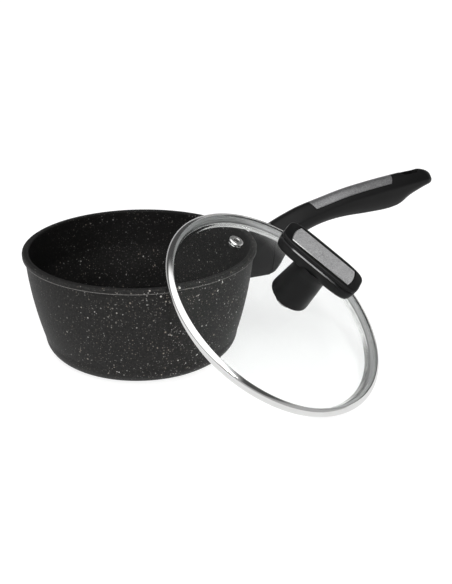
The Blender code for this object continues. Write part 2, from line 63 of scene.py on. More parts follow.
# Camera, light and floor, with lengths in metres
CAMERA_PLACE = (-0.2090, -0.6142, 0.3272)
CAMERA_AIM = (0.38754, 0.83108, -0.39890)
CAMERA_ROLL = math.radians(0.856)
CAMERA_LENS = 52.35
SENSOR_HEIGHT = 36.0
SKY_AIM = (-0.45, -0.25, 0.86)
SKY_SPAN = (math.radians(34), math.radians(52))
SKY_POWER = 2.2
ROOM_POWER = 0.10
SWEEP_POWER = 0.60
SWEEP_SPAN = (math.radians(17), math.radians(26))
FRONT_PLACE = (-0.19, -1.46, 1.05)
FRONT_AIM = (0.05, -0.05, 0.08)
FRONT_SIZE = 0.34
FRONT_POWER = 11.0
FLOOR_R = 6.0
FLOOR_TONE = 0.3
FLOOR_GLOW = 0.80
FLOOR_DROP = 0.0001

# Coat. A speck layer has the spacing and largest radius of its specks, the share of places that hold one,
# a shift in metres that keeps it off the other layers, and a strength.
# Painted shade: inside the pan the coat's colours are scaled down by this, so that the inside looks darker.
INSIDE_SHADE = 0.4
INSIDE_SPECKS = 0.35
# Painted highlight: colour of the thin line along the lip's lower edge.
LIP_HIGHLIGHT_TONE = (0.16, 0.155, 0.15)
DARK_SPECK = (0.26, 0.225, 0.19)
PALE_SPECK = (0.62, 0.61, 0.59)
SPECK_LAYERS = [(1.5, 0.50, 0.85, (0.011, 0.0, 0.003), 0.20),
                (2.3, 0.68, 0.75, (0.0, 0.027, 0.0), 0.45),
                (4.2, 0.90, 0.65, (0.041, 0.0, 0.019), 0.95)]

# Pan
RIM_R = 93.5
PAN_H = 87.2
LIP_H = 3.8
LIP_STEP = 2.1
LIP_ROUND = 0.6
WALL_TOP_R = RIM_R - LIP_STEP
WALL_FOOT_R = 75.1
WALL_BELLY = 2.9
WALL_T = 3.2
FLOOR_T = 5.0
FOOT_ROUND = 15.3
INNER_ROUND = 12.0
EDGE_ROUND = 1.2
DISC_R = 57.4
DISC_T = 2.1
DISC_ROUND = 0.4
GROOVES = (49.0, 41.0, 33.0, 25.0, 17.0, 9.0)
GROOVE_TOP_W = 0.5
GROOVE_W = 0.9
GROOVE_DEPTH = 0.35

# Handle
BLOCK_START = 86.0
FERRULE_END = 115.7
GRIP_START = FERRULE_END + GAP
GRIP_END = 283.4
TIP_ROUND = 10.0
TIP_START = GRIP_END - TIP_ROUND
BLOCK_BOTTOM = 44.6
CREST = [(86, 80.5), (94, 82), (104, 84.6), (116, 88.8), (130, 95.3), (146, 101.6), (165, 106.7),
         (190, 112.8), (215, 117.0), (240, 120.3), (262, 122.6), (270, 122.9), (276.5, 121.4),
         (280.9, 119.0), (GRIP_END, 115.2)]
UNDERSIDE = [(GRIP_START, 45.0), (120.7, 47.2), (125.0, 52.6), (129.3, 60.0), (136.5, 70.5),
             (148, 79.8), (166, 86.3), (186, 89.3), (212, 90.0), (232, 90.9), (243, 92.7),
             (249, 95.0), (257, 100.6), (266, 104.9), (276, 108.8), (GRIP_END, 109.6)]
HALF_WIDTH = [(86, 13.6), (116, 13.0), (140, 12.0), (170, 11.5), (230, 11.6), (250, 11.0),
              (268, 10.2), (GRIP_END, 10.0)]
CREASE_DROP = 9.0
CROWN_POINTS = 14
FLANK = [(1.0, 0.0), (1.0, 0.06), (0.998, 0.24), (0.985, 0.42), (0.92, 0.63), (0.82, 0.8), (0.7, 0.94),
         (0.6, 0.985), (0.5, 1.0)]
SLOT_START = 250.0
SLOT_END = 268.5
SLOT_W = 7.6
TRIM_START = 159.4
TRIM_END = 236.0
TRIM_HALF_W = 8.5
TRIM_BULGE = 3.2
TRIM_T = 0.8
TRIM_POCKET = TRIM_T + GAP

# Handle screw, with places along it as distances from the pan's axis
SCREW_Z = 60.0
SHANK_R = 2.4
CLEAR_R = SHANK_R + 0.4
BOSS_R = 6.5
BOSS_START = 84.0
BOSS_END = 104.0
BOSS_BORE_START = 93.0
SCREW_TIP = 95.0
SCREW_SEAT = 122.0
COUNTERBORE_R = 5.6
WASHER_R = 5.0
WASHER_T = 0.8
HEAD_R = 4.3
HEAD_H = 2.8
HEX_R = 2.0
HEX_DEPTH = 1.7
GASKET_T = 1.2
GASKET_INSET = 1.2
GASKET_END = 101.0

# Lid
LID_TILT = math.radians(35.9)
LID_LEAN = math.radians(-56.7)
KNOB_TWIST = math.radians(12.0)
LID_X = 71.8
LID_Y = -97.7
FLOOR_CLEARANCE = 2.3
GLASS_R = 92.7
GLASS_EDGE_Z = 7.6
GLASS_APEX_Z = 20.3
GLASS_T = 4.0
GLASS_ROUND = 0.8
GLASS_HOLE_R = 4.0
VENT_TURN = math.radians(160)
VENT_REACH = 59.8
VENT_BORE_R = 2.5
VENT_TUBE_R = 2.9
VENT_FLANGE_R = 5.7
VENT_FLANGE_T = 0.9
VENT_COLLAR_R = 5.2
VENT_COLLAR_T = 0.8
FLANGE_INNER_R = 91.1
BAND_T = 0.7
BAND_WALL = [(92.9, 8.25), (94.0, 7.35), (94.7, 6.1), (94.8, 4.6), (94.1, 2.6), (92.7, 0.9)]
BAND_LINING = [(92.2, 1.6), (93.5, 3.0), (94.15, 4.7), (94.05, 5.9), (93.4, 6.95), (92.5, 7.75)]
BAND_FOOT_R = 91.3
SEAT_R = 87.0
SKIRT_R = 85.2
SKIRT_Z = -2.4

# Knob
STEM_FOOT_R = 15.8
STEM_NECK_R = 13.9
STEM_Z = 21.8
BAR_HALF_L = 33.6
BAR_HALF_W = 14.2
BAR_BOTTOM_Z = 53.4
BAR_SPLIT_Z = 63.8
BAR_TOP_Z = 67.3
BAR_CHAMFER = 1.1
BAR_SQUARENESS = 4.6
BAR_POINTS = 160
PLATE_HALF_L = 25.1
PLATE_HALF_W = 10.2
PLATE_BULGE = 1.8
PLATE_BEVEL = 0.55
KNOB_SHANK_TOP = 36.0
KNOB_INSERT_R = 4.0
KNOB_INSERT_TOP = 39.0
KNOB_HEAD_R = 4.6
KNOB_HEAD_H = 3.0
KNOB_WASHER_R = 8.0
KNOB_WASHER_T = 1.2
KNOB_GASKET_R = 9.2
KNOB_GASKET_T = 1.0
CROSS_REACH = 3.0
CROSS_HALF_W = 0.45
CROSS_DEPTH = 1.4


# Numbers and curves

def spaced(first, last, count):
    """Evenly spaced values with both ends included."""
    return [first + (last - first) * i / (count - 1) for i in range(count)]


def smooth_value(points, at):
    """Cubic through the points (place, value), read at one place."""
    last = len(points) - 1
    i = 0
    while i < last - 1 and at > points[i + 1][0]:
        i += 1
    (x0, y0), (x1, y1) = points[i], points[i + 1]

    def slope(j):
        low, high = max(j - 1, 0), min(j + 1, last)
        return (points[high][1] - points[low][1]) / (points[high][0] - points[low][0])

    span = x1 - x0
    t = min(max((at - x0) / span, 0.0), 1.0)
    a, b = slope(i) * span, slope(i + 1) * span
    return (y0 * (2 * t ** 3 - 3 * t ** 2 + 1) + a * (t ** 3 - 2 * t ** 2 + t)
            + y1 * (3 * t ** 2 - 2 * t ** 3) + b * (t ** 3 - t ** 2))


def through(points, between=5):
    """A smooth curve through plane points, with some more points between each pair."""
    path = [Vector(point) for point in points]
    ends = [2.0 * path[0] - path[1]] + path + [2.0 * path[-1] - path[-2]]
    curve = []
    for a, b, c, d in zip(ends, ends[1:], ends[2:], ends[3:]):
        for t in spaced(0.0, 1.0, between + 1)[:-1]:
            curve.append(0.5 * (2.0 * b + (c - a) * t + (2.0 * a - 5.0 * b + 4.0 * c - d) * t ** 2
                                + (3.0 * b - a - 3.0 * c + d) * t ** 3))
    curve.append(path[-1])
    return [tuple(point) for point in curve]


def arc(cx, cz, radius, start, end, count):
    """Points on a circle from one angle to another, in degrees."""
    points = []
    for angle in spaced(math.radians(start), math.radians(end), count + 1):
        points.append((cx + radius * math.cos(angle), cz + radius * math.sin(angle)))
    return points


def ring_profile(inner, outer, high, low, edge=0.2):
    """Outline of a washer between two radii and two heights, with its edges taken off."""
    return [(inner, high - edge), (inner + edge, high), (outer - edge, high), (outer, high - edge),
            (outer, low + edge), (outer - edge, low), (inner + edge, low), (inner, low + edge)]


# Meshes

def finish_mesh(obj):
    """Smooth shading that stays sharp at the real edges."""
    obj.data.shade_smooth()
    obj.data.set_sharp_from_angle(angle=SMOOTH_ANGLE)
    return obj


def new_piece(name, bm, place, material=None):
    """An object whose points are put in their place, so that the object itself stays at the origin."""
    mesh = bpy.data.meshes.new(name)
    bm.transform(place)
    bm.to_mesh(mesh)
    bm.free()
    obj = bpy.data.objects.new(name, mesh)
    bpy.context.scene.collection.objects.link(obj)
    if material:
        mesh.materials.append(material)
    return finish_mesh(obj)


def turned(name, profile, material=None, place=HERE, steps=FINE_STEPS, closed=False):
    """A profile of (radius, z) turned about Z."""
    bm = bmesh.new()
    points = [bm.verts.new((r * MM, 0.0, z * MM)) for r, z in profile]
    pairs = list(zip(points, points[1:]))
    if closed:
        pairs.append((points[-1], points[0]))
    edges = [bm.edges.new(pair) for pair in pairs]
    bmesh.ops.spin(bm, geom=points + edges, axis=(0.0, 0.0, 1.0), cent=(0.0, 0.0, 0.0),
                   angle=2.0 * math.pi, steps=steps, use_merge=True)
    bmesh.ops.remove_doubles(bm, verts=bm.verts, dist=TINY)
    bmesh.ops.recalc_face_normals(bm, faces=bm.faces)
    return new_piece(name, bm, place, material)


def lofted(name, rings, material=None, place=HERE):
    """A skin over closed rings of points, with a cap on the first and last ring."""
    bm = bmesh.new()
    rows = []
    for ring in rings:
        rows.append([bm.verts.new(Vector(point) * MM) for point in ring])
    for low, high in zip(rows, rows[1:]):
        for i in range(len(low)):
            j = (i + 1) % len(low)
            bm.faces.new((low[i], low[j], high[j], high[i]))
    bm.faces.new(reversed(rows[0]))
    bm.faces.new(rows[-1])
    bmesh.ops.recalc_face_normals(bm, faces=bm.faces)
    return new_piece(name, bm, place, material)


def plate(name, place_on, columns, rows, thickness, side, material=None):
    """A grid shaped by place_on(u, v), with u and v from 0 to 1, thickened to one side."""
    bm = bmesh.new()
    bmesh.ops.create_grid(bm, x_segments=columns, y_segments=rows, size=0.5)
    for vertex in bm.verts:
        vertex.co = Vector(place_on(vertex.co.x + 0.5, vertex.co.y + 0.5)) * MM
    obj = new_piece(name, bm, HERE, material)
    solidify = obj.modifiers.new("thickness", "SOLIDIFY")
    solidify.thickness = thickness * MM
    solidify.offset = side
    return obj


def bar(name, radius, low, high, sides, place=HERE):
    """A plain many-sided bar along Z, used as a cutter."""
    bm = bmesh.new()
    middle = Matrix.Translation((0.0, 0.0, 0.5 * (low + high) * MM))
    bmesh.ops.create_cone(bm, cap_ends=True, segments=sides, radius1=radius * MM, radius2=radius * MM,
                          depth=(high - low) * MM, matrix=middle)
    return new_piece(name, bm, place)


def settled(obj):
    """Put the object's modifiers into its mesh."""
    bpy.context.view_layer.update()
    graph = bpy.context.evaluated_depsgraph_get()
    mesh = bpy.data.meshes.new_from_object(obj.evaluated_get(graph))
    obj.modifiers.clear()
    obj.data = mesh
    return finish_mesh(obj)


def combine(obj, cutter, operation="DIFFERENCE"):
    """Cut the piece with another, or join or intersect them, and remove the other."""
    boolean = obj.modifiers.new("cut", "BOOLEAN")
    boolean.operation = operation
    boolean.object = cutter
    boolean.solver = "EXACT"
    settled(obj)
    bpy.data.objects.remove(cutter)
    return obj


def soften(obj, width, segments):
    """Round the sharp edges of a piece."""
    bevel = obj.modifiers.new("edges", "BEVEL")
    bevel.width = width * MM
    bevel.segments = segments
    bevel.limit_method = "ANGLE"
    bevel.angle_limit = math.radians(50)
    return settled(obj)


def polish_between(obj, place, low, high, material):
    """Give another material to the faces between two heights of a place, but for those that lie flat."""
    obj.data.materials.append(material)
    back = place.inverted()
    for face in obj.data.polygons:
        height = (back @ face.center).z
        flatness = abs((back.to_3x3() @ face.normal).z)
        if low * MM < height < high * MM and flatness < 0.95:
            face.material_index = 1


def along_x(place):
    """The same place with its Z turned to point along its X."""
    return place @ Matrix.Rotation(0.5 * math.pi, 4, "Y")


# Materials

class Look:
    """A material on one Principled shader, with short calls for the nodes that feed it."""

    def __init__(self, name, colour, roughness, **values):
        self.material = bpy.data.materials.new(name)
        self.material.use_nodes = True
        self.tree = self.material.node_tree
        self.shader = self.tree.nodes["Principled BSDF"]
        self.set("Base Color", (*colour, 1.0))
        self.set("Roughness", roughness)
        for key, value in values.items():
            self.set(key.replace("_", " ").title().replace("Ior", "IOR"), value)
        self.place = self.add("ShaderNodeTexCoord").outputs["Object"]

    def add(self, kind, **settings):
        node = self.tree.nodes.new(kind)
        for key, value in settings.items():
            setattr(node, key, value)
        return node

    def feed(self, socket, value):
        """Link an output, or set a plain value."""
        if isinstance(value, bpy.types.NodeSocket):
            self.tree.links.new(value, socket)
        else:
            socket.default_value = value

    def set(self, name, value):
        self.feed(self.shader.inputs[name], value)

    def maths(self, operation, first, second=0.0, third=0.0):
        node = self.add("ShaderNodeMath", operation=operation)
        for socket, value in zip(node.inputs, (first, second, third)):
            self.feed(socket, value)
        return node.outputs[0]

    def span(self, value, low, high, to_low=0.0, to_high=1.0):
        """Map a range to another and hold it there."""
        node = self.add("ShaderNodeMapRange")
        for key, number in zip(("Value", "From Min", "From Max", "To Min", "To Max"),
                               (value, low, high, to_low, to_high)):
            self.feed(node.inputs[key], number)
        return node.outputs[0]

    def mix(self, share, first, second):
        node = self.add("ShaderNodeMix", data_type="RGBA")
        colours = [value if isinstance(value, bpy.types.NodeSocket) else (*value, 1.0)
                   for value in (first, second)]
        self.feed(node.inputs[0], share)
        self.feed(node.inputs[6], colours[0])
        self.feed(node.inputs[7], colours[1])
        return node.outputs[2]

    def stretched(self, scale, shift=(0.0, 0.0, 0.0)):
        node = self.add("ShaderNodeMapping")
        self.feed(node.inputs["Vector"], self.place)
        node.inputs["Scale"].default_value = scale
        node.inputs["Location"].default_value = shift
        return node.outputs[0]

    def noise(self, size, detail, vector=None):
        """Soft noise from 0 to 1, with features of about this size in millimetres."""
        node = self.add("ShaderNodeTexNoise")
        self.feed(node.inputs["Vector"], self.place if vector is None else vector)
        node.inputs["Scale"].default_value = 1.0 / (size * MM)
        node.inputs["Detail"].default_value = detail
        return node.outputs[0]

    def cells(self, size, shift):
        """Distance to the nearest of a scatter of points, and a random colour for each."""
        node = self.add("ShaderNodeTexVoronoi")
        self.feed(node.inputs["Vector"], self.stretched((1.0, 1.0, 1.0), shift))
        node.inputs["Scale"].default_value = 1.0 / (size * MM)
        split = self.add("ShaderNodeSeparateColor")
        self.feed(split.inputs[0], node.outputs["Color"])
        return node.outputs["Distance"], split.outputs

    def bump(self, height, depth, strength=1.0, under=None):
        """Bump from a height of 0 to 1 that stands this many millimetres."""
        node = self.add("ShaderNodeBump")
        self.feed(node.inputs["Height"], height)
        node.inputs["Distance"].default_value = depth * MM
        node.inputs["Strength"].default_value = strength
        if under is not None:
            self.feed(node.inputs["Normal"], under)
        return node.outputs[0]


def scaled(colour, factor):
    """A darker or lighter shade of a colour."""
    return tuple(factor * part for part in colour)


def specks(look, size, radius, share, shift):
    """Mask of round specks, and a random number for each. Only a share of the cells hold one."""
    distance, chance = look.cells(size, shift)
    reach = look.span(chance[0], 1.0 - share, 1.0, 0.35 * radius / size, radius / size)
    round_mask = look.span(look.maths("SUBTRACT", reach, distance), 0.0, 0.06)
    held = look.span(chance[0], 0.998 - share, 1.0 - share)
    return look.maths("MULTIPLY", round_mask, held), chance[1]


def from_axis(look):
    """A point's x, its distance from the pan's axis, and its height, in metres."""
    split = look.add("ShaderNodeSeparateXYZ")
    look.feed(split.inputs[0], look.place)
    x, y, z = split.outputs
    squares = look.maths("ADD", look.maths("MULTIPLY", x, x), look.maths("MULTIPLY", y, y))
    return x, look.maths("SQRT", squares), z


def speck_field(look, x, z):
    """How thickly the specks lie: fewer on the side away from the handle, none at the very foot."""
    side = look.span(x, -0.085, -0.030, 0.25, 1.0)
    foot = look.span(z, 0.0035, 0.0080)
    cloud = look.span(look.noise(22.0, 2.0), 0.36, 0.60, 0.45, 1.0)
    return look.maths("MULTIPLY", look.maths("MULTIPLY", side, cloud), foot)


def lip_highlight(look, radius, z):
    """Painted highlight: a thin lighter line along the lip's lower edge, patchy along its length."""
    away = look.maths("ABSOLUTE", look.maths("SUBTRACT", z, (PAN_H - LIP_H + 0.35) * MM))
    band = look.span(away, 0.0006, 0.0001)
    outer = look.span(radius, (RIM_R - 0.9) * MM, (RIM_R - 0.4) * MM)
    patchy = look.span(look.noise(3.0, 3.0), 0.3, 0.6, 0.4, 1.0)
    return look.maths("MULTIPLY", look.maths("MULTIPLY", band, outer), patchy)


def speckle_coat(name, base, light):
    """Matte non-stick coat with stone-like specks of three sizes. Inside the pan its colours are painted
    darker, as painted shade.
    """
    look = Look(name, base, 0.5, specular_ior_level=0.09)
    x, radius, z = from_axis(look)
    tone = look.span(look.noise(1.6, 4.0), 0.3, 0.7)
    outside = look.mix(tone, base, light)
    # Painted shade: a darker copy of the coat's colours for the inside of the pan.
    inside = look.mix(tone, scaled(base, INSIDE_SHADE), scaled(light, INSIDE_SHADE))
    reach = look.maths("MULTIPLY_ADD", z, (WALL_TOP_R - WALL_FOOT_R) / PAN_H, (WALL_FOOT_R + 0.5) * MM)
    outer = look.span(look.maths("SUBTRACT", radius, reach), -0.0008, 0.0)
    colour = look.mix(outer, inside, outside)
    # Painted highlight: a lighter line along the lip's lower edge.
    colour = look.mix(lip_highlight(look, radius, z), colour, LIP_HIGHLIGHT_TONE)
    patch = speck_field(look, x, z)
    patch = look.maths("MULTIPLY", patch, look.span(outer, 0.0, 1.0, INSIDE_SPECKS, 1.0))
    raised = None
    for size, speck_r, share, shift, power in SPECK_LAYERS:
        mask, chance = specks(look, size, speck_r, share, shift)
        tint = look.mix(look.span(chance, 0.35, 0.85), DARK_SPECK, PALE_SPECK)
        shown = look.maths("MULTIPLY", look.maths("MULTIPLY", mask, patch), power)
        colour = look.mix(shown, colour, tint)
        raised = shown if raised is None else look.maths("MAXIMUM", raised, shown)
    look.set("Base Color", colour)
    fine = look.noise(0.9, 3.0)
    look.set("Roughness", look.span(fine, 0.3, 0.7, 0.46, 0.6))
    skin = look.bump(fine, 0.05, 0.35)
    look.set("Normal", look.bump(raised, 0.05, 0.4, skin))
    return look.material


def matte_plastic(name, colour, roughness):
    """Soft-touch moulding with a very fine grain and a little handling wear in its gloss."""
    look = Look(name, colour, roughness, specular_ior_level=0.16)
    grain = look.noise(0.35, 2.0)
    wear = look.noise(14.0, 4.0)
    look.set("Roughness", look.span(wear, 0.3, 0.7, roughness - 0.05, roughness + 0.06))
    look.set("Base Color", look.mix(look.span(grain, 0.4, 0.9, 0.0, 0.6), colour, scaled(colour, 1.5)))
    look.set("Normal", look.bump(grain, 0.02, 0.3))
    return look.material


def rubber(name, colour):
    """Silicone with a fine, slightly shiny skin."""
    look = Look(name, colour, 0.62, specular_ior_level=0.4)
    grain = look.noise(0.6, 3.0)
    look.set("Roughness", look.span(grain, 0.3, 0.7, 0.55, 0.7))
    look.set("Normal", look.bump(grain, 0.03, 0.4))
    return look.material


def satin_metal(name, dark, light, roughness, metallic):
    """Plate with a fine grain, as of etched or blasted metal under a clear lacquer."""
    look = Look(name, dark, roughness, metallic=metallic)
    grain = look.noise(0.85, 2.0, look.stretched((1.0, 1.6, 1.6)))
    cloud = look.noise(9.0, 3.0)
    tone = look.maths("ADD", look.span(grain, 0.34, 0.66, 0.0, 0.8), look.span(cloud, 0.3, 0.7, 0.0, 0.2))
    look.set("Base Color", look.mix(tone, dark, light))
    look.set("Roughness", look.span(grain, 0.3, 0.7, roughness - 0.06, roughness + 0.08))
    look.set("Normal", look.bump(grain, 0.03, 0.35))
    return look.material


def polished_metal(name, colour, roughness):
    """Bright sheet with faint rolling lines and smudges."""
    look = Look(name, colour, roughness, metallic=1.0)
    smudge = look.noise(12.0, 4.0)
    lines = look.noise(0.8, 2.0, look.stretched((0.15, 0.15, 3.0)))
    look.set("Roughness", look.span(smudge, 0.35, 0.7, roughness - 0.03, roughness + 0.05))
    look.set("Base Color", look.mix(look.span(smudge, 0.35, 0.8, 0.0, 0.5), colour, scaled(colour, 0.9)))
    look.set("Normal", look.bump(lines, 0.01, 0.12))
    return look.material


def turned_metal(name, colour, roughness, pitch):
    """Metal with fine rings about the pan's axis, as left by a lathe."""
    look = Look(name, colour, roughness, metallic=1.0)
    radius = from_axis(look)[1]
    join = look.add("ShaderNodeCombineXYZ")
    look.feed(join.inputs[0], radius)
    rings = look.noise(pitch, 3.0, join.outputs[0])
    look.set("Roughness", look.span(rings, 0.3, 0.7, roughness - 0.08, roughness + 0.1))
    look.set("Base Color", look.mix(look.span(rings, 0.3, 0.7), scaled(colour, 0.75), colour))
    look.set("Normal", look.bump(rings, 0.03, 0.35))
    return look.material


def clear_glass(name):
    """Solid clear glass. Rays from lamps pass straight through, so that its shadow stays light."""
    look = Look(name, (0.975, 0.985, 0.98), 0.0, transmission_weight=1.0, ior=1.5)
    output = look.tree.nodes["Material Output"]
    light_path = look.add("ShaderNodeLightPath")
    clear = look.add("ShaderNodeBsdfTransparent")
    clear.inputs[0].default_value = (0.93, 0.95, 0.94, 1.0)
    mix = look.add("ShaderNodeMixShader")
    look.feed(mix.inputs[0], light_path.outputs["Is Shadow Ray"])
    look.feed(mix.inputs[1], look.shader.outputs[0])
    look.feed(mix.inputs[2], clear.outputs[0])
    look.feed(output.inputs["Surface"], mix.outputs[0])
    return look.material


def make_looks():
    """Every material of the object, by a short key."""
    return {
        "coat": speckle_coat("granite_coat", (0.0086, 0.0084, 0.0081), (0.0185, 0.0181, 0.0177)),
        "base": turned_metal("base_steel", (0.56, 0.56, 0.55), 0.36, 0.5),
        "black": matte_plastic("soft_black", (0.0032, 0.0032, 0.0033), 0.42),
        "gloss": matte_plastic("polished_black", (0.0048, 0.0048, 0.0049), 0.14),
        "trim": satin_metal("satin_trim", (0.085, 0.085, 0.087), (0.255, 0.255, 0.258), 0.33, 0.60),
        "plate": satin_metal("satin_plate", (0.17, 0.17, 0.172), (0.57, 0.57, 0.575), 0.36, 0.35),
        "steel": polished_metal("polished_steel", (0.63, 0.63, 0.625), 0.09),
        "satin": polished_metal("satin_steel", (0.78, 0.78, 0.77), 0.30),
        "rubber": rubber("silicone", (0.03, 0.03, 0.03)),
        "bedding": rubber("pale_silicone", (0.26, 0.26, 0.26)),
        "raw": turned_metal("raw_aluminium", (0.60, 0.60, 0.61), 0.4, 0.5),
        "brass": turned_metal("brass", (0.72, 0.52, 0.22), 0.3, 0.4),
        "glass": clear_glass("clear_glass"),
    }


# Pan

def wall_radius(z):
    """Outer radius of the bellied wall."""
    top = PAN_H - LIP_H
    down = (top - z) / top
    return WALL_TOP_R + (WALL_FOOT_R - WALL_TOP_R) * down + 4.0 * WALL_BELLY * down * (1.0 - down)


def pan_profile():
    """Inside from the centre up to the rim, over the lip, down the outside, and back in below."""
    corner_z = FLOOR_T + INNER_ROUND
    corner_r = wall_radius(corner_z) - WALL_T - INNER_ROUND
    rim_z = PAN_H - EDGE_ROUND
    lip_z = PAN_H - LIP_H
    inside = [(r, FLOOR_T) for r in spaced(0.0, corner_r, 9)[:-1]]
    inside += arc(corner_r, corner_z, INNER_ROUND, -90, 0, 16)
    inside += [(wall_radius(z) - WALL_T, z) for z in spaced(corner_z, rim_z, 28)[1:-1]]
    rim = arc(WALL_TOP_R - WALL_T + EDGE_ROUND, rim_z, EDGE_ROUND, 180, 90, 7)
    rim += arc(RIM_R - EDGE_ROUND, rim_z, EDGE_ROUND, 90, 0, 7)
    under_lip = lip_z - LIP_ROUND
    lip = arc(RIM_R - LIP_ROUND, lip_z + LIP_ROUND, LIP_ROUND, 0, -90, 4)
    lip += arc(wall_radius(under_lip) + LIP_ROUND, under_lip, LIP_ROUND, 90, 180, 4)
    outside = [(wall_radius(z), z) for z in spaced(under_lip, FOOT_ROUND, 28)[1:-1]]
    outside += arc(wall_radius(FOOT_ROUND) - FOOT_ROUND, FOOT_ROUND, FOOT_ROUND, 0, -90, 20)
    recess_r = DISC_R + GAP
    recess_z = DISC_T + GAP
    return inside + rim + lip + outside + [(recess_r, 0.0), (recess_r, recess_z), (0.0, recess_z)]


def disc_profile():
    """Steel base disc, with shallow turned grooves in its lower face."""
    edge_r = DISC_R - DISC_ROUND
    top = [(0.0, DISC_T), (edge_r, DISC_T)] + arc(edge_r, DISC_T - DISC_ROUND, DISC_ROUND, 90, 0, 4)
    edge = arc(edge_r, DISC_ROUND, DISC_ROUND, 0, -90, 4)
    under = []
    for middle in GROOVES:
        under += [(middle + GROOVE_W, 0.0), (middle + GROOVE_TOP_W, GROOVE_DEPTH),
                  (middle - GROOVE_TOP_W, GROOVE_DEPTH), (middle - GROOVE_W, 0.0)]
    return top + edge + under + [(0.0, 0.0)]


def make_pan(looks):
    """The cast pan and the disc in its base."""
    pan = turned("pan_shell", pan_profile(), looks["coat"])
    disc = turned("pan_base_disc", disc_profile(), looks["base"])
    return [(pan, "pan_body", "granite_coat"), (disc, "base_disc", "base_steel")]


# Handle

def crown_section(at, shrink=0.0):
    """Closed ring of points across the handle at one distance from the pan's axis."""
    half = smooth_value(HALF_WIDTH, at)
    past = max(at - TIP_START, 0.0) / TIP_ROUND
    half = half * math.sqrt(max(1.0 - past ** 2, 0.0)) - shrink
    top = smooth_value(CREST, at) - shrink
    low = (BLOCK_BOTTOM if at < GRIP_START else smooth_value(UNDERSIDE, at)) + shrink
    drop = min(CREASE_DROP, 0.5 * (top - low))
    flank = top - drop - low
    right = [(share * half, top - drop * share ** 2) for share in spaced(0.0, 0.965, CROWN_POINTS)]
    crease = [(0.99 * half, top - drop * 0.985)]
    sides = through(FLANK[1:], 3)
    right += crease + [(share * half, top - drop - down * flank) for share, down in sides]
    left = [(-y, z) for y, z in reversed(right[1:])]
    return [(at, y, z) for y, z in right + left]


def crown_height(at, across):
    """Height of the grip's crowned top."""
    return smooth_value(CREST, at) - CREASE_DROP * (across / smooth_value(HALF_WIDTH, at)) ** 2


def trim_place(margin, lift):
    """Place on the crown, grown sideways by a margin and raised square to the crown by a lift."""
    def place(u, v):
        side = 2.0 * v - 1.0
        across = side * (TRIM_HALF_W + margin)
        bulge = margin + TRIM_BULGE * (1.0 - side ** 2)
        start = TRIM_START - bulge
        at = start + (TRIM_END + bulge - start) * u
        slope = 2.0 * CREASE_DROP * across / smooth_value(HALF_WIDTH, at) ** 2
        lean = math.hypot(1.0, slope)
        return (at, across + lift * slope / lean, crown_height(at, across) + lift / lean)
    return place


def slot_ring(grow, height):
    """The hanging slot's outline, grown, at a height that may depend on the distance and side."""
    radius = 0.5 * SLOT_W + grow
    first = SLOT_START + 0.5 * SLOT_W
    last = SLOT_END - 0.5 * SLOT_W
    flat = arc(last, 0.0, radius, -90, 90, 20) + arc(first, 0.0, radius, 90, 270, 20)
    return [(x, y, height(x, y)) for x, y in flat]


def slot_cutter():
    """Cutter for the slot, flared where it meets the crown and the underside."""
    def above(lift):
        return lambda x, y: crown_height(x, y) + lift

    def below(drop):
        return lambda x, y: smooth_value(UNDERSIDE, x) - drop

    rings = [slot_ring(1.15, below(6.0)), slot_ring(1.15, below(0.4)), slot_ring(0.6, below(-0.35)),
             slot_ring(0.0, below(-1.3))]
    rings += [slot_ring(0.0, above(-1.3)), slot_ring(0.12, above(-0.75)), slot_ring(0.5, above(-0.25)),
              slot_ring(1.1, above(0.1)), slot_ring(1.15, above(6.0))]
    return lofted("slot_cut", rings)


def grip_stations():
    """Distances from the pan's axis at which the grip has a section, closer together round the tip."""
    tip = [TIP_START + TIP_ROUND * math.sin(math.radians(turn)) for turn in range(6, 85, 6)]
    return spaced(GRIP_START + 0.5, TIP_START, 130) + tip


def screw_place():
    """The handle screw lies level along +X, and its Z runs from the pan's axis outward."""
    return along_x(Matrix.Translation((0.0, 0.0, SCREW_Z * MM)))


def round_hole(name, radius, start, end):
    """Cutter along the handle's screw."""
    return bar(name, radius, start, end, 48, screw_place())


def screw_hole(name):
    """Cutter for the screw's shank, from the boss to the counterbore."""
    return round_hole(name, CLEAR_R, BOSS_END - OVERRUN, SCREW_SEAT + OVERRUN)


def boss_hole(name):
    """Cutter that leaves room for the boss on the wall."""
    return round_hole(name, BOSS_R + GAP, BOSS_START - OVERRUN, BOSS_END + GAP)


def make_handle(looks):
    """The grip, with its slot, screw hole and pocket, and the metal plate in the pocket."""
    rings = [crown_section(GRIP_START, shrink=0.5)] + [crown_section(at) for at in grip_stations()]
    grip = lofted("handle_grip_skin", rings, looks["black"])
    combine(grip, slot_cutter())
    combine(grip, screw_hole("grip_screw_hole"))
    combine(grip, round_hole("grip_head_hole", COUNTERBORE_R, SCREW_SEAT, SCREW_SEAT + OVERRUN))
    pocket = settled(plate("pocket_cut", trim_place(GAP, -TRIM_POCKET), 48, 16, 4.0 * TRIM_POCKET, 1.0))
    combine(grip, pocket)
    trim = soften(settled(plate("handle_trim_plate", trim_place(0.0, 0.0), 64, 18, TRIM_T, -1.0,
                                looks["trim"])), 0.35, 3)
    return [(grip, "handle_grip", "soft_black"), (trim, "handle_trim", "satin_trim")]


def wall_envelope(name, offset):
    """The pan's outer wall grown by an offset, as a cutter."""
    heights = spaced(PAN_H + LIP_H, BLOCK_BOTTOM - OVERRUN, 20)
    profile = [(0.0, heights[0])] + [(wall_radius(z) + offset, z) for z in heights] + [(0.0, heights[-1])]
    return turned(name, profile)


